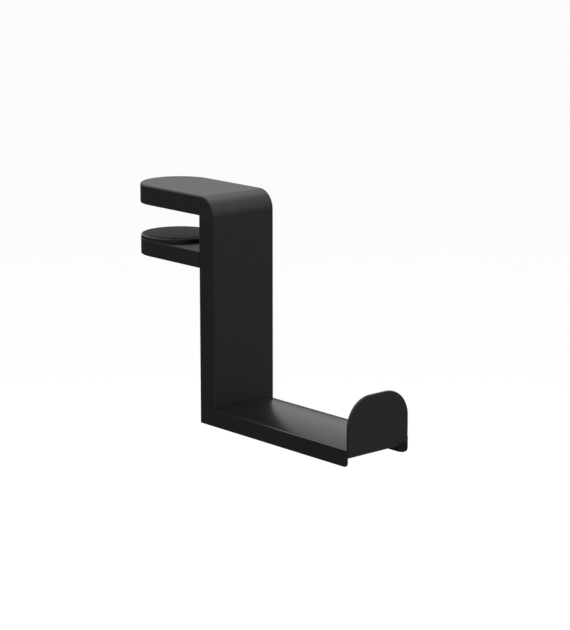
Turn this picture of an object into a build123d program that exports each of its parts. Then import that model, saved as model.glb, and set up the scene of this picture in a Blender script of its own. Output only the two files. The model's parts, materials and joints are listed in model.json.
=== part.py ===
from build123d import *
import os

# Headphone hook with a spring clamp. Millimetres, +Z up. The origin is the middle of the round
# end of the arm, on the face of the arm's pad that bears on top of the desk. The hook points
# along -Y, the desk comes in from +Y, and the model is symmetric about X = 0.

# ---------------------------------------------------------------- body
body_width = 40.8          # arm, post, hook and lower jaw are all this wide
body_height = 120.2        # bottom of the hook's sides to the top of the arm
arm_reach = 53.2           # front of the post to the middle of the arm's round end
hook_reach = 101.3         # front of the post to the outer face of the lip
wall = 2.2                 # wall of the cast body and of the jaw
arm_height = 10.3
post_depth = 11.3
bend_radius = 10.0         # outer radius between the arm and the post
face_fillet = 1.0          # rounding between the front of the post and its sides
edge_fillet = 0.4          # rounding of thin edges
fine_fillet = 0.2          # rounding of the lower edges of the arm and the edges of the jaw

# ---------------------------------------------------------------- hook
hook_side_height = 8.5
deck_clearance = 3.3       # underside of the deck above the bottom of the sides
rim_width = 1.4            # edge of the tray that the saddle lies in
lip_thickness = 1.5
lip_height = 34.3          # above the bottom of the sides
lip_corner_radius = 15.0
lip_bend_radius = 4.6      # outer radius at the foot of the lip
tray_bend_radius = 2.8     # inner radius there
lip_edge_fillet = 0.5
lip_root = 0.4             # height of the lip's straight root, above the bend
side_setback = 0.1         # ends of the hook's sides behind the lip's outer face
side_end_radius = 3.0
side_end_bevel = 4.5       # the ends of the sides are bevelled inside over this length
saddle_rise = 2.1          # crown of the saddle above the hook's sides
saddle_sink = 0.1          # edges of the saddle below the hook's sides
saddle_gap = 0.05          # between the saddle and the tray
stud_count = 3
stud_radius = 2.0
stud_neck_radius = 1.4
stud_end_distance = 12.0   # outer studs from the ends of the saddle
stud_head_radius = 3.5
stud_head_height = 1.3

# ---------------------------------------------------------------- arm cover and pad
arm_cover_thickness = 2.6
pad_proud = 0.8            # the arm's pad stands this far below the arm
pad_recess = 0.9
pad_margin = 5.0           # outline of the pad inside the outline of the arm
pad_corner_radius = 4.0
panel_gap = 0.15           # round a cover, inside the walls
seat_gap = 0.03            # between pieces that are screwed face to face

# ---------------------------------------------------------------- clamp slide in the post
rear_cover_thickness = 1.2
rod_radius = 2.0
rod_spacing = 27.6         # between the axes of the two guide rods
rod_socket = 6.0           # depth of the rods in each block
rod_clearance = 0.05       # rods in their blocks, and bushes on the rods
bush_wall = 0.7
bush_length = 6.0
bush_clearance = 0.02
bore_relief = 0.35         # the carriage's bore clears the rod by this between its bushes
slide_gap = 0.35           # round the carriage, and between the jaw and the post
carriage_height = 22.5
carriage_drop = 2.2        # bottom of the carriage below the bottom of the jaw
bumper_thickness = 2.0
bumper_wall = 1.1
bumper_gap = 0.2
upper_boss_length = 2.4
block_tab_length = 12.0
lower_block_height = 8.0
block_hole_depth = 6.4     # holes in the lower block for the screws from below
floor_screw_grip = 5.6     # of those screws in the block
floor_screw_gap = 0.3      # between their heads and the rear wall of the post
wire_diameter = 0.7
spring_mean_radius = 2.85
spring_coils = 18
travel = 30.0              # of the lower jaw, from closed

# ---------------------------------------------------------------- lower jaw
closed_opening = 16.2      # between the two pads with the jaw closed
jaw_height = 8.4
disc_radius = 20.2
disc_height = 1.9
disc_base = 0.9
disc_rim = 1.1
disc_pad_gap = 0.05
disc_pad_proud = 0.2
spigot_radius = 4.5
spigot_gap = 0.1
tongue_width = 20.0
tongue_thickness = 2.5
tongue_past_centre = 10.0  # the tongue ends this far beyond the middle of the round end
tongue_gap = 0.1
slot_gap = 0.4             # round the tongue, in the rear cover
slot_corner_radius = 0.8
bracket_height = 16.0
bracket_corner_radius = 2.0
base_cover_thickness = 1.5

# ---------------------------------------------------------------- screws
# shank radius, head radius and head height of the two countersunk sizes, and one pan head
m2_shank, m2_head, m2_head_height = 1.0, 1.9, 0.95
m3_shank, m3_head, m3_head_height = 1.5, 2.8, 1.45
m3_pan_radius, m3_pan_height = 2.7, 1.6
disc_screw_head = 1.2      # height of the pan head under the disc
disc_screw_end = 0.2       # its tip below the floor of the disc
m2_grip = 4.0              # length of an M2 screw beyond the cover that it holds
screw_tip_room = 0.9       # depth of a hole past the end of the boss
thread_gap = 0.03          # between a screw and the hole that it is screwed into
head_gap = 0.05
boss_wall = 1.6
socket_share = 0.45        # width of a screw's hexagon socket, as a share of its head's
socket_depth_share = 0.65  # its depth, as a share of the height of the head
pan_rounding_share = 0.4

# ---------------------------------------------------------------- levels and places that follow
half_width = body_width / 2
inner_half = half_width - wall
arm_bottom_z = pad_proud
arm_top_z = arm_bottom_z + arm_height
ceiling_z = arm_top_z - wall
bottom_z = arm_top_z - body_height
deck_bottom_z = bottom_z + deck_clearance
deck_top_z = deck_bottom_z + wall
rim_z = bottom_z + hook_side_height
lip_top_z = bottom_z + lip_height
post_front_y = -arm_reach
post_back_y = post_front_y + post_depth
lip_front_y = post_front_y - hook_reach
lip_back_y = lip_front_y + lip_thickness
post_inner_y = post_front_y + wall
cover_inner_y = post_back_y - rear_cover_thickness
rod_y = (post_inner_y + cover_inner_y) / 2
rod_x = rod_spacing / 2
disc_top_z = -closed_opening
jaw_top_z = disc_top_z - disc_pad_proud - disc_height
jaw_bottom_z = jaw_top_z - jaw_height
jaw_front_y = post_back_y + slide_gap
jaw_inner_top_z = jaw_top_z - wall
tongue_bottom_z = jaw_inner_top_z - tongue_thickness
tongue_top_z = jaw_inner_top_z - seat_gap
carriage_bottom_z = jaw_bottom_z - carriage_drop
carriage_top_z = carriage_bottom_z + carriage_height
carriage_front_y = post_inner_y + slide_gap
carriage_back_y = cover_inner_y - slide_gap
upper_block_bottom_z = carriage_top_z + bumper_gap + bumper_thickness
upper_block_top_z = ceiling_z - upper_boss_length
lower_block_top_z = deck_top_z + lower_block_height
arm_cover_front_y = cover_inner_y + seat_gap
tab_end_y = post_back_y + block_tab_length

os.makedirs("parts", exist_ok=True)


def save(piece, name):
    """Label a finished piece and write its STEP file."""
    piece.part.label = name
    export_step(piece.part, f"parts/{name}.step")


def countersunk_screw(length, shank, head, head_height):
    """A countersunk socket screw: flat of its head at Z = 0, pointing down."""
    with BuildPart() as screw:
        Cylinder(shank, length, align=(Align.CENTER, Align.CENTER, Align.MAX))
        Cone(shank, head, head_height, align=(Align.CENTER, Align.CENTER, Align.MAX))
        with BuildSketch(Plane.XY):
            RegularPolygon(head * socket_share, 6)
        extrude(amount=-head_height * socket_depth_share, mode=Mode.SUBTRACT)
    return screw.part


def countersunk_hole(depth, shank, head, head_height):
    """The space that a countersunk screw passes through, to be cut away: mouth at Z = 0."""
    with BuildPart() as hole:
        Cylinder(shank + head_gap, depth, align=(Align.CENTER, Align.CENTER, Align.MAX))
        Cone(
            shank + head_gap, head + head_gap, head_height + head_gap,
            align=(Align.CENTER, Align.CENTER, Align.MAX),
        )
    return hole.part


def pan_screw(length, shank, head, head_height):
    """A pan head socket screw: underside of its head at Z = 0, pointing down."""
    with BuildPart() as screw:
        Cylinder(shank, length, align=(Align.CENTER, Align.CENTER, Align.MAX))
        Cylinder(head, head_height, align=(Align.CENTER, Align.CENTER, Align.MIN))
        fillet(screw.faces().sort_by(Axis.Z)[-1].edges(), head_height * pan_rounding_share)
        with BuildSketch(Plane.XY.offset(head_height)):
            RegularPolygon(head * socket_share, 6)
        extrude(amount=-head_height * socket_depth_share, mode=Mode.SUBTRACT)
    return screw.part


def corner_near(face, first, second):
    """The corner of a sketch face nearest to a point, in the sketch's own two coordinates."""
    return face.vertices().sort_by_distance((first, second))[0]


def round_end_outline(front_y, inset):
    """The plan outline that the arm and the jaw share, inset, from front_y to the round end."""
    with BuildSketch() as outline:
        Circle(half_width - inset)
        with Locations((0, front_y / 2)):
            Rectangle(2 * (half_width - inset), -front_y)
    return outline.sketch


# ---------------------------------------------------------------- places of screws and bosses
arm_boss_x = 10.0
arm_boss_distance = 5.0      # behind the upper block's tab, and behind the middle of the round end
tab_screw_x = 8.0
tab_screw_share = 0.55       # place along the tab
floor_screw_x = 5.0
cover_screw_x = 9.6
cover_screw_low = 4.0        # below the top of the lower block
cover_screw_high = 2.2       # above the bottom of the upper block
bracket_screw_x = 6.0
bracket_screw_rise = 3.6     # of the lower pair above the tongue
bracket_screw_pitch = 6.2
jaw_screw_x, jaw_screw_y = 6.0, -13.0
jaw_boss_x, jaw_boss_front, jaw_boss_back = 14.0, 9.0, 14.0

floor_screw_y = post_back_y - wall - m3_pan_radius - floor_screw_gap
cover_screw_levels = (lower_block_top_z - cover_screw_low, upper_block_bottom_z + cover_screw_high)
bracket_screw_level = tongue_top_z + bracket_screw_rise
stud_span = hook_reach - 2 * stud_end_distance
stud_middle_y = post_front_y - hook_reach / 2

arm_boss_places = [(x, y) for x in (-arm_boss_x, arm_boss_x)
                   for y in (tab_end_y + arm_boss_distance, arm_boss_distance)]
tab_screw_places = [(x, post_back_y + block_tab_length * tab_screw_share)
                    for x in (-tab_screw_x, tab_screw_x)]
floor_screw_places = [(x, floor_screw_y) for x in (-floor_screw_x, floor_screw_x)]
cover_screw_places = [(x, z) for x in (-cover_screw_x, cover_screw_x) for z in cover_screw_levels]
bracket_screw_places = [(x, bracket_screw_level + i * bracket_screw_pitch)
                        for x in (-bracket_screw_x, bracket_screw_x) for i in range(2)]
jaw_screw_places = [(x, jaw_screw_y) for x in (-jaw_screw_x, jaw_screw_x)]
jaw_boss_places = [(-jaw_boss_x, jaw_front_y + jaw_boss_front),
                   (jaw_boss_x, jaw_front_y + jaw_boss_front),
                   (0.0, jaw_boss_back)]
stud_places = [(0.0, stud_middle_y + stud_span * (i / (stud_count - 1) - 0.5))
               for i in range(stud_count)]


# ================================================================ hook frame
# One casting: an inverted channel that runs out over the desk, bends down as the post, and turns
# forward as the hook, whose deck is turned up at its end as the lip.
lip_bottom_z = deck_bottom_z + lip_bend_radius + lip_root
with BuildPart() as lip_plate:
    with BuildSketch(Plane.XZ.offset(-lip_front_y)):
        with Locations((0, (lip_bottom_z + lip_top_z) / 2)):
            plate = Rectangle(2 * half_width, lip_top_z - lip_bottom_z)
        fillet(plate.vertices().group_by(Axis.Y)[-1], lip_corner_radius)
    extrude(amount=-lip_thickness)
    fillet(lip_plate.edges().filter_by(lambda e: e.length > 2 * lip_thickness)
           .group_by(Axis.Z)[1:], lip_edge_fillet)

with BuildPart() as hook_frame:
    with BuildSketch(Plane.YZ):
        with BuildLine():
            Polyline(
                (post_front_y, bottom_z),
                (post_back_y, bottom_z),
                (post_back_y, arm_bottom_z),
                (0, arm_bottom_z),
                (0, arm_top_z),
                (post_front_y, arm_top_z),
                close=True,
            )
        make_face()
    extrude(amount=half_width, both=True)
    with BuildSketch(Plane.XY.offset(arm_bottom_z)):
        Circle(half_width)
    extrude(amount=arm_height)
    bend = hook_frame.edges().filter_by(Axis.X).group_by(Axis.Z)[-1].sort_by(Axis.Y)[0]
    fillet(bend, bend_radius)
    front_edges = hook_frame.faces().sort_by(Axis.Y)[0].edges().filter_by(Axis.Z)
    fillet(front_edges, face_fillet)
    arm_bottom = hook_frame.faces().filter_by(Axis.Z).group_by(Axis.Z)[1]
    fillet(arm_bottom.edges().filter_by(Axis.X, reverse=True), fine_fillet)

    # sides of the hook
    for plane in (Plane.YZ.offset(-half_width), Plane.YZ.offset(inner_half)):
        with BuildSketch(plane):
            with BuildLine():
                Polyline(
                    (lip_front_y + side_setback, bottom_z),
                    (post_back_y, bottom_z),
                    (post_back_y, rim_z),
                    (lip_front_y + side_setback, rim_z),
                    close=True,
                )
            side = make_face()
            fillet(corner_near(side, lip_front_y, bottom_z), side_end_radius)
        extrude(amount=wall)
    with BuildSketch(Plane.XY.offset(bottom_z)):
        with BuildLine():
            Polyline(
                (-half_width, lip_front_y),
                (half_width, lip_front_y),
                (half_width, lip_front_y + side_setback),
                (inner_half, lip_front_y + side_end_bevel),
                (-inner_half, lip_front_y + side_end_bevel),
                (-half_width, lip_front_y + side_setback),
                close=True,
            )
        make_face()
    extrude(amount=deck_top_z - bottom_z, mode=Mode.SUBTRACT)

    # deck, turned up as the lip
    with BuildSketch(Plane.YZ):
        with BuildLine():
            Polyline(
                (post_back_y, deck_bottom_z),
                (lip_front_y, deck_bottom_z),
                (lip_front_y, lip_bottom_z),
                (lip_back_y, lip_bottom_z),
                (lip_back_y, deck_top_z),
                (post_back_y, deck_top_z),
                close=True,
            )
        strip = make_face()
        fillet(corner_near(strip, lip_front_y, deck_bottom_z), lip_bend_radius)
    extrude(amount=half_width, both=True)
    add(lip_plate.part)

    # hollow of the arm and the post, open to the desk side
    with BuildSketch(Plane.YZ):
        with BuildLine():
            Polyline(
                (post_inner_y, deck_top_z),
                (post_back_y, deck_top_z),
                (post_back_y, arm_bottom_z),
                (0, arm_bottom_z),
                (0, ceiling_z),
                (post_inner_y, ceiling_z),
                close=True,
            )
        hollow = make_face()
        fillet(corner_near(hollow, post_inner_y, ceiling_z), bend_radius - wall)
    extrude(amount=inner_half, both=True, mode=Mode.SUBTRACT)
    with BuildSketch(Plane.XY.offset(arm_bottom_z)):
        Circle(inner_half)
    extrude(amount=arm_height - wall, mode=Mode.SUBTRACT)

    # tray for the saddle, with the inner bend of the lip at its end
    with BuildSketch(Plane.YZ):
        with BuildLine():
            Polyline(
                (lip_back_y, deck_top_z),
                (post_front_y, deck_top_z),
                (post_front_y, lip_top_z),
                (lip_back_y, lip_top_z),
                close=True,
            )
        tray = make_face()
        fillet(corner_near(tray, lip_back_y, deck_top_z), tray_bend_radius)
    extrude(amount=half_width - rim_width, both=True, mode=Mode.SUBTRACT)

    # hollow under the deck, closed behind the post
    with BuildSketch(Plane.XY.offset(bottom_z)):
        with Locations((0, (post_front_y + post_back_y - wall) / 2)):
            Rectangle(2 * inner_half, post_depth - wall)
    extrude(amount=deck_clearance, mode=Mode.SUBTRACT)

    # bosses for the arm cover and the upper block, with their screw holes
    boss_bottom_z = arm_bottom_z + arm_cover_thickness
    with BuildSketch(Plane.XY.offset(boss_bottom_z)):
        with Locations(*arm_boss_places):
            Circle(m2_shank + boss_wall)
    extrude(amount=ceiling_z - boss_bottom_z)
    with BuildSketch(Plane.XY.offset(boss_bottom_z)):
        with Locations(*arm_boss_places):
            Circle(m2_shank + thread_gap)
    extrude(amount=ceiling_z - boss_bottom_z, mode=Mode.SUBTRACT)
    with BuildSketch(Plane.XY.offset(upper_block_top_z)):
        with Locations(*tab_screw_places):
            Circle(m3_shank + boss_wall)
    extrude(amount=upper_boss_length)
    with BuildSketch(Plane.XY.offset(upper_block_top_z)):
        with Locations(*tab_screw_places):
            Circle(m3_shank + thread_gap)
    extrude(amount=upper_boss_length + screw_tip_room, mode=Mode.SUBTRACT)

    # holes through the deck: two screws into the lower block, and the studs of the saddle
    with BuildSketch(Plane.XY.offset(deck_bottom_z)):
        with Locations(*floor_screw_places):
            Circle(m3_shank + head_gap)
        with Locations(*stud_places):
            Circle(stud_radius + saddle_gap)
    extrude(amount=wall, mode=Mode.SUBTRACT)
save(hook_frame, "hook_frame")


# ================================================================ saddle
# A crowned soft strip that lies in the tray, held by mushroom studs pulled through the deck.
saddle_half = half_width - rim_width - saddle_gap
saddle_edge_z = rim_z - saddle_sink
with BuildPart() as headband_saddle:
    with BuildSketch(Plane.YZ):
        with BuildLine():
            Polyline(
                (lip_back_y + saddle_gap, deck_top_z),
                (post_front_y - saddle_gap, deck_top_z),
                (post_front_y - saddle_gap, rim_z + saddle_rise),
                (lip_back_y + saddle_gap, rim_z + saddle_rise),
                close=True,
            )
        side = make_face()
        fillet(corner_near(side, lip_back_y, deck_top_z), tray_bend_radius)
    extrude(amount=saddle_half, both=True)
    with BuildSketch(Plane.XZ.offset(-lip_front_y)):
        with BuildLine():
            ThreePointArc(
                (-saddle_half, saddle_edge_z),
                (0, rim_z + saddle_rise),
                (saddle_half, saddle_edge_z),
            )
            Polyline(
                (saddle_half, saddle_edge_z),
                (saddle_half, deck_top_z),
                (-saddle_half, deck_top_z),
                (-saddle_half, saddle_edge_z),
            )
        make_face()
    extrude(amount=-hook_reach, mode=Mode.INTERSECT)
    with BuildSketch(Plane.XY.offset(deck_top_z)):
        with Locations(*stud_places):
            Circle(stud_radius)
    extrude(amount=-wall - seat_gap)
    with Locations(*[(x, y, deck_bottom_z - seat_gap) for x, y in stud_places]):
        Cone(
            stud_neck_radius, stud_head_radius, stud_head_height,
            align=(Align.CENTER, Align.CENTER, Align.MAX),
        )
save(headband_saddle, "headband_saddle")


# ================================================================ arm cover and pad
# The cover closes the arm from below; the pad lies in a recess of it and hides its screws.
pad_front_y = arm_cover_front_y + pad_margin - wall
arm_screw_spots = [Location((x, y, arm_bottom_z + pad_recess), (180, 0, 0))
                   for x, y in arm_boss_places]

with BuildSketch(Plane.XY) as pad_outline:
    add(round_end_outline(pad_front_y, pad_margin))
    fillet(pad_outline.vertices().group_by(Axis.Y)[0], pad_corner_radius)

with BuildPart() as arm_cover:
    with BuildSketch(Plane.XY.offset(arm_bottom_z)):
        add(round_end_outline(arm_cover_front_y, wall + panel_gap))
    extrude(amount=arm_cover_thickness)
    with BuildSketch(Plane.XY.offset(arm_bottom_z)):
        add(pad_outline.sketch)
        offset(amount=saddle_gap)
    extrude(amount=pad_recess, mode=Mode.SUBTRACT)
    with Locations(*arm_screw_spots):
        add(countersunk_hole(arm_cover_thickness, m2_shank, m2_head, m2_head_height),
            mode=Mode.SUBTRACT)
save(arm_cover, "arm_cover")

with BuildPart() as arm_pad:
    with BuildSketch(Plane.XY):
        add(pad_outline.sketch)
    extrude(amount=pad_proud + pad_recess)
    fillet(arm_pad.faces().sort_by(Axis.Z)[0].edges(), edge_fillet)
save(arm_pad, "arm_pad")

with BuildPart() as arm_cover_screws:
    with Locations(*arm_screw_spots):
        add(countersunk_screw(arm_cover_thickness - pad_recess + m2_grip, m2_shank, m2_head,
                              m2_head_height))
save(arm_cover_screws, "arm_cover_screws")


# ================================================================ blocks and guide rods
# Two blocks hold the rods: the lower one stands on the deck inside the post, the upper one fills
# the bend and is screwed to the ceiling of the arm by a tab.
block_half = inner_half - panel_gap
block_front_y = post_inner_y + panel_gap
block_back_y = cover_inner_y - seat_gap
rod_bottom_z = lower_block_top_z - rod_socket
rod_top_z = upper_block_bottom_z + rod_socket
tab_bottom_z = arm_bottom_z + arm_cover_thickness + panel_gap
cover_screw_length = rear_cover_thickness + m2_grip
cover_screw_spots = [Location((x, post_back_y, z), (-90, 0, 0)) for x, z in cover_screw_places]
floor_screw_spots = [Location((x, y, deck_bottom_z), (180, 0, 0)) for x, y in floor_screw_places]
tab_screw_spots = [Location((x, y, tab_bottom_z), (180, 0, 0)) for x, y in tab_screw_places]

with BuildPart() as lower_block:
    with BuildSketch(Plane.XY.offset(deck_top_z)):
        with Locations((0, (block_front_y + block_back_y) / 2)):
            RectangleRounded(2 * block_half, block_back_y - block_front_y, edge_fillet)
    extrude(amount=lower_block_height)
    with BuildSketch(Plane.XY.offset(lower_block_top_z)):
        with Locations((-rod_x, rod_y), (rod_x, rod_y)):
            Circle(rod_radius + rod_clearance)
    extrude(amount=-rod_socket, mode=Mode.SUBTRACT)
    with BuildSketch(Plane.XY.offset(deck_top_z)):
        with Locations(*floor_screw_places):
            Circle(m3_shank + thread_gap)
    extrude(amount=block_hole_depth, mode=Mode.SUBTRACT)
    with Locations(*cover_screw_spots[0::2]):
        Cylinder(m2_shank + thread_gap, cover_screw_length + head_gap,
                 align=(Align.CENTER, Align.CENTER, Align.MAX), mode=Mode.SUBTRACT)
save(lower_block, "lower_block")

with BuildPart() as upper_block:
    with BuildSketch(Plane.YZ):
        with BuildLine():
            Polyline(
                (block_front_y, upper_block_bottom_z),
                (block_back_y, upper_block_bottom_z),
                (block_back_y, tab_bottom_z),
                (tab_end_y, tab_bottom_z),
                (tab_end_y, upper_block_top_z),
                (block_front_y, upper_block_top_z),
                close=True,
            )
        outline = make_face()
        bend_centre_z = arm_top_z - bend_radius
        fillet(corner_near(outline, block_front_y, upper_block_top_z),
               upper_block_top_z - bend_centre_z)
    extrude(amount=block_half, both=True)
    with BuildSketch(Plane.XY.offset(upper_block_bottom_z)):
        with Locations((-rod_x, rod_y), (rod_x, rod_y)):
            Circle(rod_radius + rod_clearance)
    extrude(amount=rod_socket, mode=Mode.SUBTRACT)
    with Locations(*tab_screw_spots):
        add(countersunk_hole(upper_block_top_z - tab_bottom_z, m3_shank, m3_head,
                             m3_head_height), mode=Mode.SUBTRACT)
    with Locations(*cover_screw_spots[1::2]):
        Cylinder(m2_shank + thread_gap, cover_screw_length + head_gap,
                 align=(Align.CENTER, Align.CENTER, Align.MAX), mode=Mode.SUBTRACT)
save(upper_block, "upper_block")

with BuildPart() as upper_block_screws:
    with Locations(*tab_screw_spots):
        add(countersunk_screw(upper_block_top_z - tab_bottom_z + upper_boss_length, m3_shank,
                              m3_head, m3_head_height))
save(upper_block_screws, "upper_block_screws")

with BuildPart() as lower_block_screws:
    with Locations(*floor_screw_spots):
        add(pan_screw(wall + floor_screw_grip, m3_shank, m3_pan_radius, m3_pan_height))
save(lower_block_screws, "lower_block_screws")

for side, x in (("left", -rod_x), ("right", rod_x)):
    with BuildPart() as guide_rod:
        with BuildSketch(Plane.XY.offset(rod_bottom_z)):
            with Locations((x, rod_y)):
                Circle(rod_radius)
        extrude(amount=rod_top_z - rod_bottom_z)
        chamfer(guide_rod.edges().filter_by(GeomType.CIRCLE), edge_fillet)
    save(guide_rod, f"{side}_guide_rod")

    with BuildPart() as stop_bumper:
        with BuildSketch(Plane.XY.offset(upper_block_bottom_z - bumper_thickness)):
            with Locations((x, rod_y)):
                Circle(rod_radius + rod_clearance + bumper_wall)
                Circle(rod_radius + rod_clearance, mode=Mode.SUBTRACT)
        extrude(amount=bumper_thickness - seat_gap)
    save(stop_bumper, f"{side}_stop_bumper")


# ================================================================ springs
# A compression spring round each rod, from the lower block to the carriage, with ground ends.
spring_bottom_z = lower_block_top_z + seat_gap
spring_length = carriage_bottom_z - seat_gap - spring_bottom_z
for side, x in (("left", -rod_x), ("right", rod_x)):
    pitch = spring_length / spring_coils
    coil_line = Helix(pitch, spring_length, spring_mean_radius).moved(
        Location((x, rod_y, spring_bottom_z)))
    with BuildPart() as spring:
        with BuildSketch(Plane(origin=coil_line @ 0, z_dir=coil_line % 0)):
            Circle(wire_diameter / 2)
        sweep(path=coil_line, is_frenet=True)
        with BuildSketch(Plane.XY.offset(spring_bottom_z)):
            with Locations((x, rod_y)):
                Circle(spring_mean_radius + wire_diameter)
        extrude(amount=spring_length, mode=Mode.INTERSECT)
    save(spring, f"{side}_spring")


# ================================================================ rear cover
# Closes the post flush with its edges; the tongue of the jaw's bracket passes through its slot.
slot_half = tongue_width / 2 + slot_gap
slot_bottom_z = tongue_bottom_z - travel - slot_gap
slot_top_z = tongue_top_z + slot_gap
rear_cover_top_z = arm_bottom_z - seat_gap
with BuildPart() as rear_cover:
    with BuildSketch(Plane.XZ.offset(-post_back_y)):
        with BuildLine():
            Polyline(
                (-block_half, deck_top_z + seat_gap),
                (block_half, deck_top_z + seat_gap),
                (block_half, rear_cover_top_z),
                (-block_half, rear_cover_top_z),
                close=True,
            )
        make_face()
        with Locations((0, (slot_bottom_z + slot_top_z) / 2)):
            RectangleRounded(2 * slot_half, slot_top_z - slot_bottom_z, slot_corner_radius,
                             mode=Mode.SUBTRACT)
    extrude(amount=rear_cover_thickness)
    with Locations(*cover_screw_spots):
        add(countersunk_hole(rear_cover_thickness, m2_shank, m2_head, m2_head_height),
            mode=Mode.SUBTRACT)
save(rear_cover, "rear_cover")

with BuildPart() as rear_cover_screws:
    with Locations(*cover_screw_spots):
        add(countersunk_screw(cover_screw_length, m2_shank, m2_head, m2_head_height))
save(rear_cover_screws, "rear_cover_screws")


# ================================================================ carriage
# Slides on the rods through four thin bushes; the jaw's bracket is screwed into its rear face.
carriage_half = inner_half - slide_gap
bush_outer = rod_radius + rod_clearance + bush_wall
bracket_half = tongue_width / 2
bracket_top_z = tongue_bottom_z + bracket_height
bracket_front_y = carriage_back_y - tongue_thickness
bracket_screw_spots = [Location((x, carriage_back_y, z), (-90, 0, 0))
                       for x, z in bracket_screw_places]
bush_bottoms = [carriage_bottom_z, carriage_top_z - bush_length]

with BuildPart() as carriage:
    with BuildSketch(Plane.XY.offset(carriage_bottom_z)):
        with Locations((0, (carriage_front_y + carriage_back_y) / 2)):
            RectangleRounded(2 * carriage_half, carriage_back_y - carriage_front_y, edge_fillet)
    extrude(amount=carriage_height)
    with BuildSketch(Plane.XY.offset(carriage_bottom_z)):
        with Locations((-rod_x, rod_y), (rod_x, rod_y)):
            Circle(rod_radius + bore_relief)
    extrude(amount=carriage_height, mode=Mode.SUBTRACT)
    for bush_bottom in bush_bottoms:
        with BuildSketch(Plane.XY.offset(bush_bottom)):
            with Locations((-rod_x, rod_y), (rod_x, rod_y)):
                Circle(bush_outer + bush_clearance)
        extrude(amount=bush_length, mode=Mode.SUBTRACT)
    with BuildSketch(Plane.XZ.offset(-carriage_back_y)):
        with Locations((0, (tongue_bottom_z + bracket_top_z) / 2)):
            Rectangle(tongue_width + 2 * seat_gap, bracket_height + 2 * seat_gap)
    extrude(amount=tongue_thickness + seat_gap, mode=Mode.SUBTRACT)
    with Locations(*bracket_screw_spots):
        Cylinder(m3_shank + thread_gap, carriage_back_y - carriage_front_y,
                 align=(Align.CENTER, Align.CENTER, Align.MAX), mode=Mode.SUBTRACT)
save(carriage, "carriage")

bush_places = [(side, level, x, z)
               for side, x in (("left", -rod_x), ("right", rod_x))
               for level, z in zip(("lower", "upper"), bush_bottoms)]
for side, level, x, z in bush_places:
    with BuildPart() as guide_bush:
        with BuildSketch(Plane.XY.offset(z)):
            with Locations((x, rod_y)):
                Circle(bush_outer)
                Circle(rod_radius + rod_clearance, mode=Mode.SUBTRACT)
        extrude(amount=bush_length)
    save(guide_bush, f"{side}_{level}_bush")


# ================================================================ jaw bracket
# A bent steel strip: upright in the carriage, then back through the slot as the jaw's tongue.
with BuildPart() as jaw_bracket:
    with BuildSketch(Plane.YZ):
        with BuildLine():
            Polyline(
                (bracket_front_y, tongue_bottom_z),
                (tongue_past_centre, tongue_bottom_z),
                (tongue_past_centre, tongue_top_z),
                (carriage_back_y, tongue_top_z),
                (carriage_back_y, bracket_top_z),
                (bracket_front_y, bracket_top_z),
                close=True,
            )
        make_face()
    extrude(amount=bracket_half, both=True)
    with BuildSketch(Plane.XY.offset(tongue_bottom_z)):
        Circle(m3_shank + head_gap)
        with Locations(*jaw_screw_places):
            Circle(m3_shank + thread_gap)
    extrude(amount=tongue_thickness, mode=Mode.SUBTRACT)
    with Locations(*bracket_screw_spots):
        add(countersunk_hole(tongue_thickness + seat_gap, m3_shank, m3_head, m3_head_height),
            mode=Mode.SUBTRACT)
    fillet(jaw_bracket.edges().filter_by(Axis.Z).group_by(Axis.Y)[-1], bracket_corner_radius)
save(jaw_bracket, "jaw_bracket")

with BuildPart() as bracket_screws:
    with Locations(*bracket_screw_spots):
        add(countersunk_screw(carriage_back_y - carriage_front_y - slide_gap, m3_shank, m3_head,
                              m3_head_height))
save(bracket_screws, "bracket_screws")


# ================================================================ lower jaw
# A hollow casting over the tongue, with the arm's outline, closed from below.
jaw_screw_spots = [Location((x, y, jaw_top_z), (0, 0, 0)) for x, y in jaw_screw_places]
jaw_base_spots = [Location((x, y, jaw_bottom_z), (180, 0, 0)) for x, y in jaw_boss_places]
base_cover_top_z = jaw_bottom_z + base_cover_thickness

with BuildPart() as lower_jaw:
    with BuildSketch(Plane.XY.offset(jaw_bottom_z)):
        add(round_end_outline(jaw_front_y, 0))
    extrude(amount=jaw_height)
    for level in (0, -1):
        rim = lower_jaw.faces().filter_by(Axis.Z).sort_by(Axis.Z)[level]
        fillet(rim.edges().filter_by(Axis.X, reverse=True), fine_fillet)
    with BuildSketch(Plane.XY.offset(jaw_bottom_z)):
        add(round_end_outline(jaw_front_y + wall, wall))
    extrude(amount=jaw_height - wall, mode=Mode.SUBTRACT)
    with BuildSketch(Plane.XY.offset(base_cover_top_z)):
        with Locations(*jaw_boss_places):
            Circle(m2_shank + boss_wall)
    extrude(amount=jaw_inner_top_z - base_cover_top_z)
    with BuildSketch(Plane.XY.offset(base_cover_top_z)):
        with Locations(*jaw_boss_places):
            Circle(m2_shank + thread_gap)
    extrude(amount=jaw_inner_top_z - base_cover_top_z, mode=Mode.SUBTRACT)
    with BuildSketch(Plane.XZ.offset(-jaw_front_y)):
        with Locations((0, (tongue_bottom_z + jaw_inner_top_z) / 2)):
            Rectangle(tongue_width + 2 * tongue_gap, tongue_thickness + 2 * tongue_gap)
    extrude(amount=-wall, mode=Mode.SUBTRACT)
    with BuildSketch(Plane.XY.offset(jaw_inner_top_z)):
        Circle(spigot_radius + spigot_gap)
    extrude(amount=wall, mode=Mode.SUBTRACT)
    with Locations(*jaw_screw_spots):
        add(countersunk_hole(wall, m3_shank, m3_head, m3_head_height), mode=Mode.SUBTRACT)
save(lower_jaw, "lower_jaw")

with BuildPart() as jaw_screws:
    with Locations(*jaw_screw_spots):
        add(countersunk_screw(wall + tongue_thickness, m3_shank, m3_head, m3_head_height))
save(jaw_screws, "jaw_screws")

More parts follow.
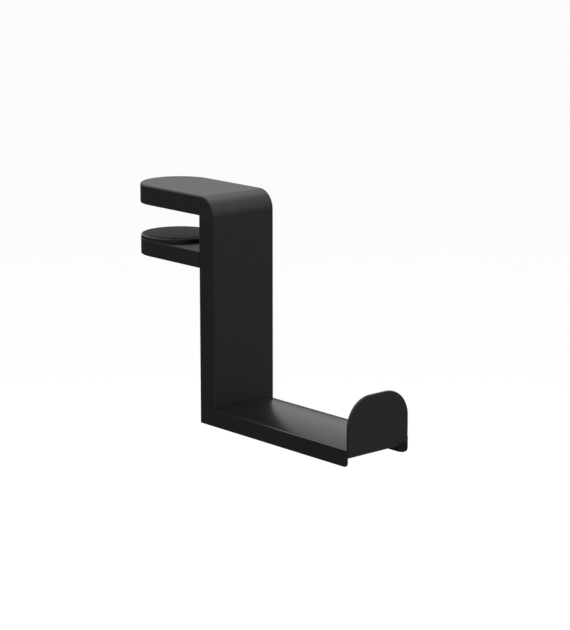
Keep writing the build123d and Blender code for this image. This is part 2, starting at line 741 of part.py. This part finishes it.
with BuildPart() as jaw_base_cover:
    with BuildSketch(Plane.XY.offset(jaw_bottom_z)):
        add(round_end_outline(jaw_front_y + wall + panel_gap, wall + panel_gap))
    extrude(amount=base_cover_thickness - seat_gap)
    with Locations(*jaw_base_spots):
        add(countersunk_hole(base_cover_thickness, m2_shank, m2_head, m2_head_height),
            mode=Mode.SUBTRACT)
save(jaw_base_cover, "jaw_base_cover")

with BuildPart() as jaw_base_screws:
    with Locations(*jaw_base_spots):
        add(countersunk_screw(base_cover_thickness + m2_grip, m2_shank, m2_head, m2_head_height))
save(jaw_base_screws, "jaw_base_screws")


# ================================================================ disc and its pad
# A shallow dish on top of the jaw, keyed by a spigot and pulled down by one screw from below.
disc_bottom_z = jaw_top_z + seat_gap
disc_floor_z = jaw_top_z + disc_base
with BuildPart() as pressure_disc:
    with BuildSketch(Plane.XY.offset(disc_bottom_z)):
        Circle(disc_radius)
    extrude(amount=disc_height - seat_gap)
    fillet(pressure_disc.edges().group_by(Axis.Z)[-1], edge_fillet)
    with BuildSketch(Plane.XY.offset(disc_floor_z)):
        Circle(disc_radius - disc_rim)
    extrude(amount=disc_height, mode=Mode.SUBTRACT)
    with BuildSketch(Plane.XY.offset(jaw_inner_top_z)):
        Circle(spigot_radius)
    extrude(amount=disc_floor_z - jaw_inner_top_z)
    with BuildSketch(Plane.XY.offset(jaw_inner_top_z)):
        Circle(m3_shank + thread_gap)
    extrude(amount=disc_floor_z - jaw_inner_top_z, mode=Mode.SUBTRACT)
save(pressure_disc, "pressure_disc")

with BuildPart() as disc_pad:
    with BuildSketch(Plane.XY.offset(disc_floor_z + seat_gap)):
        Circle(disc_radius - disc_rim - disc_pad_gap)
    extrude(amount=disc_top_z - disc_floor_z - seat_gap)
    fillet(disc_pad.edges().group_by(Axis.Z)[-1], edge_fillet)
save(disc_pad, "disc_pad")

with BuildPart() as disc_screw:
    with Locations(Location((0, 0, tongue_bottom_z), (180, 0, 0))):
        add(pan_screw(disc_floor_z - tongue_bottom_z - disc_screw_end, m3_shank, m3_pan_radius,
                      disc_screw_head))
save(disc_screw, "disc_screw")
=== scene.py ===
"""Headphone hook with a spring clamp: materials, soft pieces, springs, studio. Metres."""
import json
import math

import bmesh
import bpy
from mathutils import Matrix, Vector


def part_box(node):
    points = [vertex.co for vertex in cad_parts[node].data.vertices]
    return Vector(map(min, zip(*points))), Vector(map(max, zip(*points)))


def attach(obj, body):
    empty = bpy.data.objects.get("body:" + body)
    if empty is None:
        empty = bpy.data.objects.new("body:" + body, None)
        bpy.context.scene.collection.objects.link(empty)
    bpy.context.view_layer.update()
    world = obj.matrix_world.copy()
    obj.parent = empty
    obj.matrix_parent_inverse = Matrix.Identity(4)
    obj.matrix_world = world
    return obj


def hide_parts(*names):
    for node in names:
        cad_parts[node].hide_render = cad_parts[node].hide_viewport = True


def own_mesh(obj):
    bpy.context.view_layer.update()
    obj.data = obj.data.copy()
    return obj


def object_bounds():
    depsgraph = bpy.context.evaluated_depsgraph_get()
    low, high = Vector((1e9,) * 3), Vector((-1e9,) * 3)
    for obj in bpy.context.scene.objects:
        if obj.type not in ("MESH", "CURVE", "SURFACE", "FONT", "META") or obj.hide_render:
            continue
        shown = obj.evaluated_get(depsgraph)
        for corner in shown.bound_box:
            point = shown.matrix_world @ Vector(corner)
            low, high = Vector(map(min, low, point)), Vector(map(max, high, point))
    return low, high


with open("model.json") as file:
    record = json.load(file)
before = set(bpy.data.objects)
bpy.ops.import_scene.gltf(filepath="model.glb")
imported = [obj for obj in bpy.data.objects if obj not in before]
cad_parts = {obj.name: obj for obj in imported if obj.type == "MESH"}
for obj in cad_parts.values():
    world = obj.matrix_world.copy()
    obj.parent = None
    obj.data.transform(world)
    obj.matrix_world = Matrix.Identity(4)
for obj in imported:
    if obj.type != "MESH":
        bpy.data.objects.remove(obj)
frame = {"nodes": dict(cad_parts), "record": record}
cad_low, cad_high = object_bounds()
MM = 0.001


# ---------------------------------------------------------------- studio
CAMERA_AZIMUTH = math.radians(-41.55)
CAMERA_ELEVATION = math.radians(12.515)
CAMERA_DISTANCE = 1.1545
CAMERA_LENS = 126.9            # with Blender's 36 mm sensor along the long side
TARGET_ABOVE_BOTTOM = 0.05666  # the point that the camera looks at, from the hook's lowest edge
TARGET_BEHIND_POST = -0.01457  # and from the front face of the post
TARGET_RIGHT = 0.01548
POST_DEPTH = 11.3 * MM
POST_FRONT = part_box("rear_cover")[1].y - POST_DEPTH
FLOOR_DROP = 0.6               # the hook hangs this far above the studio floor
WORLD_LOW = (0.02, 0.26)       # below the horizon: behind the hook, and in front of it
WORLD_HIGH = 1.1
WORLD_RISE = (-0.02, 0.14)     # heights between which the world brightens
TOP_BOX_POWER = 8
FRONT_SIDE = Vector((0.67, -0.74, 0.0))   # where the studio is lighter below the horizon


def make_camera():
    """The camera at the photographed angle."""
    target = Vector((TARGET_RIGHT, POST_FRONT + TARGET_BEHIND_POST, cad_low.z + TARGET_ABOVE_BOTTOM))
    back = Vector((
        math.sin(CAMERA_AZIMUTH) * math.cos(CAMERA_ELEVATION),
        -math.cos(CAMERA_AZIMUTH) * math.cos(CAMERA_ELEVATION),
        math.sin(CAMERA_ELEVATION),
    ))
    data = bpy.data.cameras.new("camera")
    data.lens = CAMERA_LENS
    data.sensor_width = 36
    data.clip_start = 0.01
    data.clip_end = 100
    camera = bpy.data.objects.new("camera", data)
    camera.location = target + back * CAMERA_DISTANCE
    camera.rotation_euler = (-back).to_track_quat("-Z", "Y").to_euler()
    bpy.context.collection.objects.link(camera)
    bpy.context.scene.camera = camera


def area_light(name, location, target, size, power):
    """A soft box that faces a target."""
    data = bpy.data.lights.new(name, "AREA")
    data.shape = "RECTANGLE"
    data.size, data.size_y = size
    data.energy = power
    light = bpy.data.objects.new(name, data)
    light.location = location
    light.rotation_euler = (Vector(target) - Vector(location)).to_track_quat("-Z", "Y").to_euler()
    bpy.context.collection.objects.link(light)


def make_world():
    """Bright above the horizon; below it dim, and a little lighter in front of the hook."""
    world = bpy.data.worlds.new("studio")
    bpy.context.scene.world = world
    world.use_nodes = True
    tree = world.node_tree
    tree.nodes.clear()
    where = tree.nodes.new("ShaderNodeTexCoord")
    split = tree.nodes.new("ShaderNodeSeparateXYZ")
    rise = tree.nodes.new("ShaderNodeMapRange")
    rise.inputs["From Min"].default_value = WORLD_RISE[0]
    rise.inputs["From Max"].default_value = WORLD_RISE[1]
    facing = tree.nodes.new("ShaderNodeVectorMath")
    facing.operation = "DOT_PRODUCT"
    facing.inputs[1].default_value = FRONT_SIDE
    lower = tree.nodes.new("ShaderNodeMapRange")
    lower.inputs["From Min"].default_value = -1
    lower.inputs["To Min"].default_value = WORLD_LOW[0]
    lower.inputs["To Max"].default_value = WORLD_LOW[1]
    level = tree.nodes.new("ShaderNodeMapRange")
    level.inputs["To Max"].default_value = WORLD_HIGH
    background = tree.nodes.new("ShaderNodeBackground")
    output = tree.nodes.new("ShaderNodeOutputWorld")
    join = tree.links.new
    join(where.outputs["Generated"], split.inputs["Vector"])
    join(where.outputs["Generated"], facing.inputs[0])
    join(split.outputs["Z"], rise.inputs["Value"])
    join(facing.outputs["Value"], lower.inputs["Value"])
    join(rise.outputs["Result"], level.inputs["Value"])
    join(lower.outputs["Result"], level.inputs["To Min"])
    join(level.outputs["Result"], background.inputs["Strength"])
    join(background.outputs["Background"], output.inputs["Surface"])


def make_studio():
    """White floor, the world, and a soft box overhead."""
    bpy.context.scene.view_settings.view_transform = "Standard"
    make_world()
    bpy.ops.mesh.primitive_plane_add(size=80, location=(0, 0, cad_low.z - FLOOR_DROP))
    floor = bpy.context.object
    floor.name = "floor"
    paint = bpy.data.materials.new("floor_white")
    paint.use_nodes = True
    shader = paint.node_tree.nodes["Principled BSDF"]
    shader.inputs["Base Color"].default_value = (0.97, 0.97, 0.97, 1)
    shader.inputs["Roughness"].default_value = 0.9
    shader.inputs["Specular IOR Level"].default_value = 0.0
    shader.inputs["Emission Color"].default_value = (1, 1, 1, 1)
    shader.inputs["Emission Strength"].default_value = 0.12
    floor.data.materials.append(paint)
    floor.visible_glossy = False
    area_light("top_box", (0.1, 0.1, 1.1), (0, -0.07, -0.05), (1.4, 1.4), TOP_BOX_POWER)


# ---------------------------------------------------------------- material parts
class Nodes:
    """A material's node tree, with short calls for what the materials share."""

    def __init__(self, name, colour, roughness, specular=0.5, metallic=0.0):
        self.material = bpy.data.materials.new(name)
        self.material.use_nodes = True
        self.tree = self.material.node_tree
        self.shader = self.tree.nodes["Principled BSDF"]
        self.shader.inputs["Base Color"].default_value = (*colour, 1)
        self.shader.inputs["Roughness"].default_value = roughness
        self.shader.inputs["Specular IOR Level"].default_value = specular
        self.shader.inputs["Metallic"].default_value = metallic
        self.place = self.tree.nodes.new("ShaderNodeTexCoord").outputs["Object"]
        self.normal = None

    def noise(self, size, detail=3.0, stretch=(1, 1, 1)):
        """Noise whose features are about size metres across, stretched along the axes."""
        mapping = self.tree.nodes.new("ShaderNodeMapping")
        mapping.inputs["Scale"].default_value = stretch
        texture = self.tree.nodes.new("ShaderNodeTexNoise")
        texture.inputs["Scale"].default_value = 1 / size
        texture.inputs["Detail"].default_value = detail
        self.tree.links.new(self.place, mapping.inputs["Vector"])
        self.tree.links.new(mapping.outputs["Vector"], texture.inputs["Vector"])
        return texture.outputs["Fac"]

    def cells(self, size):
        """Distance to the nearest of random points about size metres apart."""
        texture = self.tree.nodes.new("ShaderNodeTexVoronoi")
        texture.inputs["Scale"].default_value = 1 / size
        self.tree.links.new(self.place, texture.inputs["Vector"])
        return texture.outputs["Distance"]

    def spread(self, value, low, high, from_low=0.3, from_high=0.7):
        """value, taken from about its own range to low and high."""
        reach = self.tree.nodes.new("ShaderNodeMapRange")
        reach.inputs["From Min"].default_value = from_low
        reach.inputs["From Max"].default_value = from_high
        reach.inputs["To Min"].default_value = low
        reach.inputs["To Max"].default_value = high
        self.tree.links.new(value, reach.inputs["Value"])
        return reach.outputs["Result"]

    def colour_from(self, value, dark, light):
        """Base colour between two colours, by value."""
        ramp = self.tree.nodes.new("ShaderNodeValToRGB")
        ramp.color_ramp.elements[0].position = 0.3
        ramp.color_ramp.elements[0].color = (*dark, 1)
        ramp.color_ramp.elements[1].position = 0.7
        ramp.color_ramp.elements[1].color = (*light, 1)
        self.tree.links.new(value, ramp.inputs["Fac"])
        self.tree.links.new(ramp.outputs["Color"], self.shader.inputs["Base Color"])

    def roughness_from(self, value, low, high):
        """Roughness between two numbers, by value."""
        self.tree.links.new(self.spread(value, low, high), self.shader.inputs["Roughness"])

    def bump(self, value, height):
        """Relief of that height in metres, on top of any relief before it."""
        relief = self.tree.nodes.new("ShaderNodeBump")
        relief.inputs["Distance"].default_value = height
        relief.inputs["Strength"].default_value = 1.0
        self.tree.links.new(value, relief.inputs["Height"])
        if self.normal is not None:
            self.tree.links.new(self.normal, relief.inputs["Normal"])
        self.normal = relief.outputs["Normal"]
        self.tree.links.new(self.normal, self.shader.inputs["Normal"])


def grey(value):
    """A neutral colour, very slightly blue."""
    return (value, value, value * 1.03)


def powder_coat():
    """Satin black powder coat: a fine orange peel, with slightly uneven gloss."""
    n = Nodes("body_coat", grey(0.0072), 0.42, specular=0.5)
    n.colour_from(n.noise(6 * MM), grey(0.0064), grey(0.0084))
    n.roughness_from(n.noise(0.9 * MM), 0.38, 0.46)
    n.bump(n.noise(0.55 * MM), 0.012 * MM)
    n.bump(n.noise(0.16 * MM, 1), 0.004 * MM)
    return n.material


def soft_touch():
    """The saddle: soft-touch rubber with a faint mottle."""
    n = Nodes("saddle_rubber", grey(0.006), 0.3, specular=0.43)
    n.colour_from(n.noise(2.2 * MM), grey(0.0045), grey(0.0075))
    n.roughness_from(n.noise(1.1 * MM), 0.26, 0.35)
    n.bump(n.noise(1.0 * MM), 0.013 * MM)
    n.bump(n.cells(0.35 * MM), 0.004 * MM)
    return n.material


def silicone():
    """Moulded pads and bumpers."""
    n = Nodes("pad_rubber", grey(0.007), 0.55, specular=0.1)
    n.colour_from(n.noise(3 * MM), grey(0.006), grey(0.009))
    n.roughness_from(n.noise(0.8 * MM), 0.5, 0.6)
    n.bump(n.noise(0.3 * MM), 0.006 * MM)
    return n.material


def sparked_plastic():
    """Covers: black plastic with a fine spark-eroded texture."""
    n = Nodes("cover_plastic", grey(0.013), 0.55, specular=0.5)
    n.colour_from(n.noise(5 * MM), grey(0.011), grey(0.015))
    n.roughness_from(n.noise(0.5 * MM), 0.5, 0.62)
    n.bump(n.cells(0.28 * MM), 0.012 * MM)
    return n.material


def acetal():
    """Blocks and carriage: smooth black bearing plastic."""
    n = Nodes("slide_plastic", grey(0.03), 0.38, specular=0.5)
    n.colour_from(n.noise(4 * MM), grey(0.026), grey(0.034))
    n.roughness_from(n.noise(1.2 * MM), 0.34, 0.44)
    n.bump(n.noise(0.5 * MM, 2, (1, 1, 0.2)), 0.004 * MM)
    return n.material


def bush_plastic():
    """Yellow-brown self-lubricating plastic."""
    n = Nodes("bush_plastic", (0.45, 0.3, 0.08), 0.5)
    n.colour_from(n.noise(0.5 * MM), (0.4, 0.26, 0.06), (0.5, 0.34, 0.1))
    n.roughness_from(n.noise(0.4 * MM), 0.45, 0.6)
    n.bump(n.noise(0.2 * MM), 0.004 * MM)
    return n.material


def ground_steel():
    """Guide rods: ground round and hard chromed, with faint rings."""
    n = Nodes("rod_steel", (0.6, 0.61, 0.62), 0.16, metallic=1.0)
    n.roughness_from(n.noise(0.25 * MM, 2, (0.2, 0.2, 6)), 0.12, 0.24)
    n.colour_from(n.noise(3 * MM), (0.56, 0.57, 0.58), (0.64, 0.65, 0.66))
    n.bump(n.noise(0.2 * MM, 2, (0.2, 0.2, 6)), 0.0008 * MM)
    return n.material


def spring_wire():
    """Drawn spring wire, lightly oiled."""
    n = Nodes("spring_steel", (0.35, 0.35, 0.36), 0.3, metallic=1.0)
    n.roughness_from(n.noise(0.4 * MM), 0.25, 0.4)
    n.colour_from(n.noise(1.5 * MM), (0.3, 0.3, 0.31), (0.4, 0.4, 0.41))
    n.bump(n.noise(0.15 * MM), 0.002 * MM)
    return n.material


def zinc_plate():
    """Zinc plated strip, with a rolled grain along it."""
    n = Nodes("bracket_steel", (0.48, 0.49, 0.52), 0.35, metallic=1.0)
    n.colour_from(n.noise(2.5 * MM, 4), (0.42, 0.43, 0.46), (0.54, 0.55, 0.57))
    n.roughness_from(n.noise(0.5 * MM, 3, (6, 0.5, 6)), 0.28, 0.45)
    n.bump(n.noise(0.3 * MM, 3, (6, 0.5, 6)), 0.002 * MM)
    return n.material


def black_oxide():
    """Screws: black oxide on turned steel."""
    n = Nodes("screw_steel", grey(0.035), 0.32, metallic=0.8)
    n.colour_from(n.noise(0.8 * MM), grey(0.028), grey(0.045))
    n.roughness_from(n.noise(0.3 * MM), 0.26, 0.42)
    n.bump(n.noise(0.12 * MM), 0.002 * MM)
    return n.material


def paint_cad_nodes(finishes):
    """Every CAD node gets the finish of its slot in the record."""
    for part in frame["record"]["subparts"]:
        mesh = frame["nodes"][part["node"]].data
        mesh.materials.clear()
        mesh.materials.append(finishes[part["material_slot"]])


# ---------------------------------------------------------------- soft pieces and springs
ROOT = "root"
JAW = "jaw"

SADDLE_DEPTH = 5.1 * MM        # top of the crown above the floor of the tray
SADDLE_CROWN = 2.2 * MM        # height of the crown above the saddle's sides
SADDLE_ROLL = 0.35 * MM        # rounding of its upper edges
SADDLE_LEAST_SIDE = 0.2 * MM   # least height of its sides above the floor of the tray
SKIRT_LEAST = 0.05 * MM        # least height of its side faces
TRAY_BEND = 2.8 * MM           # inner radius at the foot of the lip
STUD_END_DISTANCE = 12 * MM    # outer studs from the ends of the saddle

PAD_CORNER = 4 * MM
PAD_LEAST_CORNER = 0.3 * MM
PAD_EDGE = 0.5 * MM            # rounding of the pad's lower edge
GROOVE_COUNT = 4
GROOVE_MARGIN = 1.6 * MM       # from the pad's outline to its first groove
GROOVE_PITCH = 1.5 * MM
GROOVE_DEPTH = 0.22 * MM
GROOVE_FLANK = 0.15 * MM       # width of a groove's sloping side
GROOVE_FLOOR = 0.5 * MM        # from the start of a groove to the end of its floor
GROOVE_WIDTH = 0.65 * MM

BUMPER_WALL = 1.1 * MM
BUMPER_WAIST = 0.12 * MM
BUMPER_EDGE = 0.2 * MM

WIRE_RADIUS = 0.35 * MM
COILS = 18
CLOSED_TURNS = 1.1             # of the spring at each end
CLOSED_RISE = 2.1 * WIRE_RADIUS


def finished(bm, name, slot, body, nodes, smooth=50):
    """A finished mesh piece that rides on a body and stands for CAD nodes."""
    bmesh.ops.remove_doubles(bm, verts=bm.verts, dist=1e-7)
    bmesh.ops.recalc_face_normals(bm, faces=bm.faces)
    mesh = bpy.data.meshes.new(name)
    bm.to_mesh(mesh)
    bm.free()
    for face in mesh.polygons:
        face.use_smooth = True
    mesh.set_sharp_from_angle(angle=math.radians(smooth))
    mesh.materials.append(FINISHES[slot])
    piece = bpy.data.objects.new(name, mesh)
    bpy.context.collection.objects.link(piece)
    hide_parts(*nodes)
    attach(piece, body)
    return piece


def loft(bm, rings, close_loop=False):
    """Faces between successive rings of as many points each, closed by two ends or into a loop."""
    made = [[bm.verts.new(point) for point in ring] for ring in rings]
    pairs = list(zip(made, made[1:]))
    if close_loop:
        pairs.append((made[-1], made[0]))
    for low, high in pairs:
        for i in range(len(low)):
            j = (i + 1) % len(low)
            bm.faces.new((low[i], low[j], high[j], high[i]))
    if not close_loop:
        bm.faces.new(list(reversed(made[0])))
        bm.faces.new(made[-1])


def steps_round(count):
    """Angles of that many even steps round a circle."""
    return [2 * math.pi * i / count for i in range(count)]


def rolled(distance, radius):
    """Height lost this far inside an edge that is rounded to that radius."""
    if distance >= radius:
        return 0.0
    return radius - math.sqrt(radius * radius - (radius - distance) ** 2)


def make_saddle_studs(low, high, base):
    """Three mushroom studs under the saddle, pulled through the deck: radius and drop in mm."""
    span = high.y - low.y - 2 * STUD_END_DISTANCE
    shank = [(2.0, 0.0), (2.0, 2.2), (2.15, 2.23)]
    head = [(3.3, 2.28), (3.5, 2.4), (3.45, 2.6), (2.9, 3.1), (1.9, 3.45), (1.5, 3.53)]
    bm = bmesh.new()
    for k in (-1, 0, 1):
        middle = (low.y + high.y) / 2 + k * span / 2
        loft(bm, [[(radius * MM * math.cos(a), middle + radius * MM * math.sin(a), base - drop * MM)
                   for a in steps_round(32)] for radius, drop in shank + head])
    studs = finished(bm, "saddle_studs", "saddle_rubber", ROOT, [])


def make_saddle():
    """The saddle: crowned across, rolled at its sides and ends, with three pull-through studs."""
    low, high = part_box("headband_saddle")
    base = high.z - SADDLE_DEPTH
    half = high.x
    most_lost = SADDLE_DEPTH - SADDLE_CROWN - SADDLE_LEAST_SIDE
    columns, rows = 48, 120
    bm = bmesh.new()
    grid = []
    for j in range(rows + 1):
        y = low.y + (high.y - low.y) * (0.5 - 0.5 * math.cos(math.pi * j / rows))
        row = []
        for i in range(columns + 1):
            u = -math.cos(math.pi * i / columns)
            x = half * u
            lost = rolled(half - abs(x), SADDLE_ROLL)
            lost += rolled(min(y - low.y, high.y - y), SADDLE_ROLL)
            z = high.z - SADDLE_CROWN * u * u - min(lost, most_lost)
            row.append(bm.verts.new((x, y, z)))
        grid.append(row)
    for near, far in zip(grid, grid[1:]):
        for i in range(columns):
            bm.faces.new((near[i], near[i + 1], far[i + 1], far[i]))
    around = list(grid[0])
    around += [row[-1] for row in grid[1:]]
    around += list(reversed(grid[-1][:-1]))
    around += [row[0] for row in reversed(grid[1:-1])]
    skirt = []
    for vert in around:
        inward = max(0.0, TRAY_BEND - (vert.co.y - low.y))
        lift = TRAY_BEND - math.sqrt(max(TRAY_BEND * TRAY_BEND - inward * inward, 0.0))
        z = min(base + lift, vert.co.z - SKIRT_LEAST)
        skirt.append(bm.verts.new((vert.co.x, vert.co.y, z)))
    for i in range(len(around)):
        j = (i + 1) % len(around)
        bm.faces.new((around[j], around[i], skirt[i], skirt[j]))
    bm.faces.new(skirt)
    body = finished(bm, "saddle", "saddle_rubber", ROOT, ["headband_saddle"])
    make_saddle_studs(low, high, base)


def pad_outline(front, radius, corner, steps=24):
    """Outline of the arm's pad: square with round corners in front, a half circle behind."""
    points = []
    for i in range(steps + 1):
        a = math.pi * i / steps
        points.append((radius * math.cos(a), radius * math.sin(a)))
    corner_steps = steps // 3
    for side, start in ((-1, math.pi), (1, 1.5 * math.pi)):
        for i in range(corner_steps + 1):
            a = start + 0.5 * math.pi * i / corner_steps
            points.append((side * (radius - corner) + corner * math.cos(a),
                           front + corner + corner * math.sin(a)))
    return points


def make_arm_pad():
    """The pad that bears on top of the desk: rolled edge and shallow grip grooves."""
    low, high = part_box("arm_pad")
    levels = [(0.0, high.z), (0.0, low.z + PAD_EDGE)]
    for i in range(1, 7):
        a = 0.5 * math.pi * i / 6
        levels.append((PAD_EDGE * (1 - math.cos(a)), low.z + PAD_EDGE * (1 - math.sin(a))))
    for k in range(GROOVE_COUNT):
        start = GROOVE_MARGIN + k * GROOVE_PITCH
        levels += [(start, low.z), (start + GROOVE_FLANK, low.z + GROOVE_DEPTH),
                   (start + GROOVE_FLOOR, low.z + GROOVE_DEPTH), (start + GROOVE_WIDTH, low.z)]
    bm = bmesh.new()
    loft(bm, [[(x, y, z) for x, y in pad_outline(low.y + inward, high.x - inward,
                                                 max(PAD_CORNER - inward, PAD_LEAST_CORNER))]
              for inward, z in levels])
    pad = finished(bm, "arm_pad_moulding", "pad_rubber", ROOT, ["arm_pad"], smooth=35)


def make_disc_pad():
    """The pad in the jaw's dish: rolled edge, a shallow moat inside it and a very slight dome."""
    low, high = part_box("disc_pad")
    outer, top = high.x / MM, high.z / MM      # in mm, as are the sizes below
    edge, roll = 0.5, 0.45
    moat_start, moat_floor, moat_end, moat_width = 1.0, 1.15, 1.45, 1.6
    dip, moat_dip = 0.05, 0.16
    profile = [(outer, low.z / MM), (outer, top - edge)]
    for i in range(1, 8):
        a = 0.5 * math.pi * i / 7
        profile.append((outer - roll * (1 - math.cos(a)), top - edge + roll * math.sin(a)))
    profile += [(outer - moat_start, top - dip), (outer - moat_floor, top - moat_dip),
                (outer - moat_end, top - moat_dip), (outer - moat_width, top - dip)]
    for i in range(1, 12):
        share = 1 - i / 12
        profile.append(((outer - moat_width) * share, top - dip * share * share))
    bm = bmesh.new()
    loft(bm, [[(r * MM * math.cos(a), r * MM * math.sin(a), z * MM) for a in steps_round(128)]
              for r, z in profile])
    pad = finished(bm, "disc_pad_moulding", "pad_rubber", JAW, ["disc_pad"], smooth=40)


def make_bumper(side):
    """A stop bumper: a ring with a rounded, waisted wall."""
    low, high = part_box(f"{side}_stop_bumper")
    middle = (low + high) / 2
    outer = (high.x - low.x) / 2
    inner = outer - BUMPER_WALL
    height = high.z - low.z
    profile = [(inner, 0.0)]
    for i in range(9):
        radius = outer - BUMPER_WAIST * math.sin(math.pi * i / 8)
        if i in (0, 8):
            radius -= BUMPER_EDGE
        profile.append((radius, height * i / 8))
    profile.append((inner, height))
    bm = bmesh.new()
    loft(bm, [[(middle.x + r * math.cos(a), middle.y + r * math.sin(a), low.z + z)
               for a in steps_round(48)] for r, z in profile], close_loop=True)
    piece = finished(bm, f"{side}_bumper_ring", "pad_rubber", ROOT, [f"{side}_stop_bumper"])


def make_spring(side):
    """A compression spring with a closed coil at each end, drawn at the length of its CAD node."""
    low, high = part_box(f"{side}_spring")
    middle_x, middle_y = (low.x + high.x) / 2, (low.y + high.y) / 2
    radius = (high.x - low.x) / 2 - WIRE_RADIUS
    length = high.z - low.z
    rise = length - 2 * WIRE_RADIUS
    steps_per_turn, wire_steps = 36, 10
    turns = COILS + 2 * CLOSED_TURNS
    open_rise = (rise - 2 * CLOSED_TURNS * CLOSED_RISE) / COILS
    up = Vector((0, 0, 1))
    rings = []
    for i in range(int(turns * steps_per_turn) + 1):
        turn = i / steps_per_turn
        if turn < CLOSED_TURNS:
            z = turn * CLOSED_RISE
        elif turn > turns - CLOSED_TURNS:
            z = rise - (turns - turn) * CLOSED_RISE
        else:
            z = CLOSED_TURNS * CLOSED_RISE + (turn - CLOSED_TURNS) * open_rise
        angle = 2 * math.pi * turn
        outward = Vector((math.cos(angle), math.sin(angle), 0))
        centre = Vector((middle_x, middle_y, low.z + WIRE_RADIUS + z)) + outward * radius
        rings.append([centre + WIRE_RADIUS * (outward * math.cos(a) + up * math.sin(a))
                      for a in steps_round(wire_steps)])
    bm = bmesh.new()
    loft(bm, rings)
    spring = finished(bm, f"{side}_coil", "spring_steel", ROOT, [f"{side}_spring"])
    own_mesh(spring)


# ---------------------------------------------------------------- the scene
FINISHES = {
    "body_coat": powder_coat(),
    "saddle_rubber": soft_touch(),
    "pad_rubber": silicone(),
    "cover_plastic": sparked_plastic(),
    "slide_plastic": acetal(),
    "bush_plastic": bush_plastic(),
    "rod_steel": ground_steel(),
    "spring_steel": spring_wire(),
    "bracket_steel": zinc_plate(),
    "screw_steel": black_oxide(),
}

make_camera()
make_studio()
paint_cad_nodes(FINISHES)
make_saddle()
make_arm_pad()
make_disc_pad()
for side_name in ("left", "right"):
    make_bumper(side_name)
    make_spring(side_name)
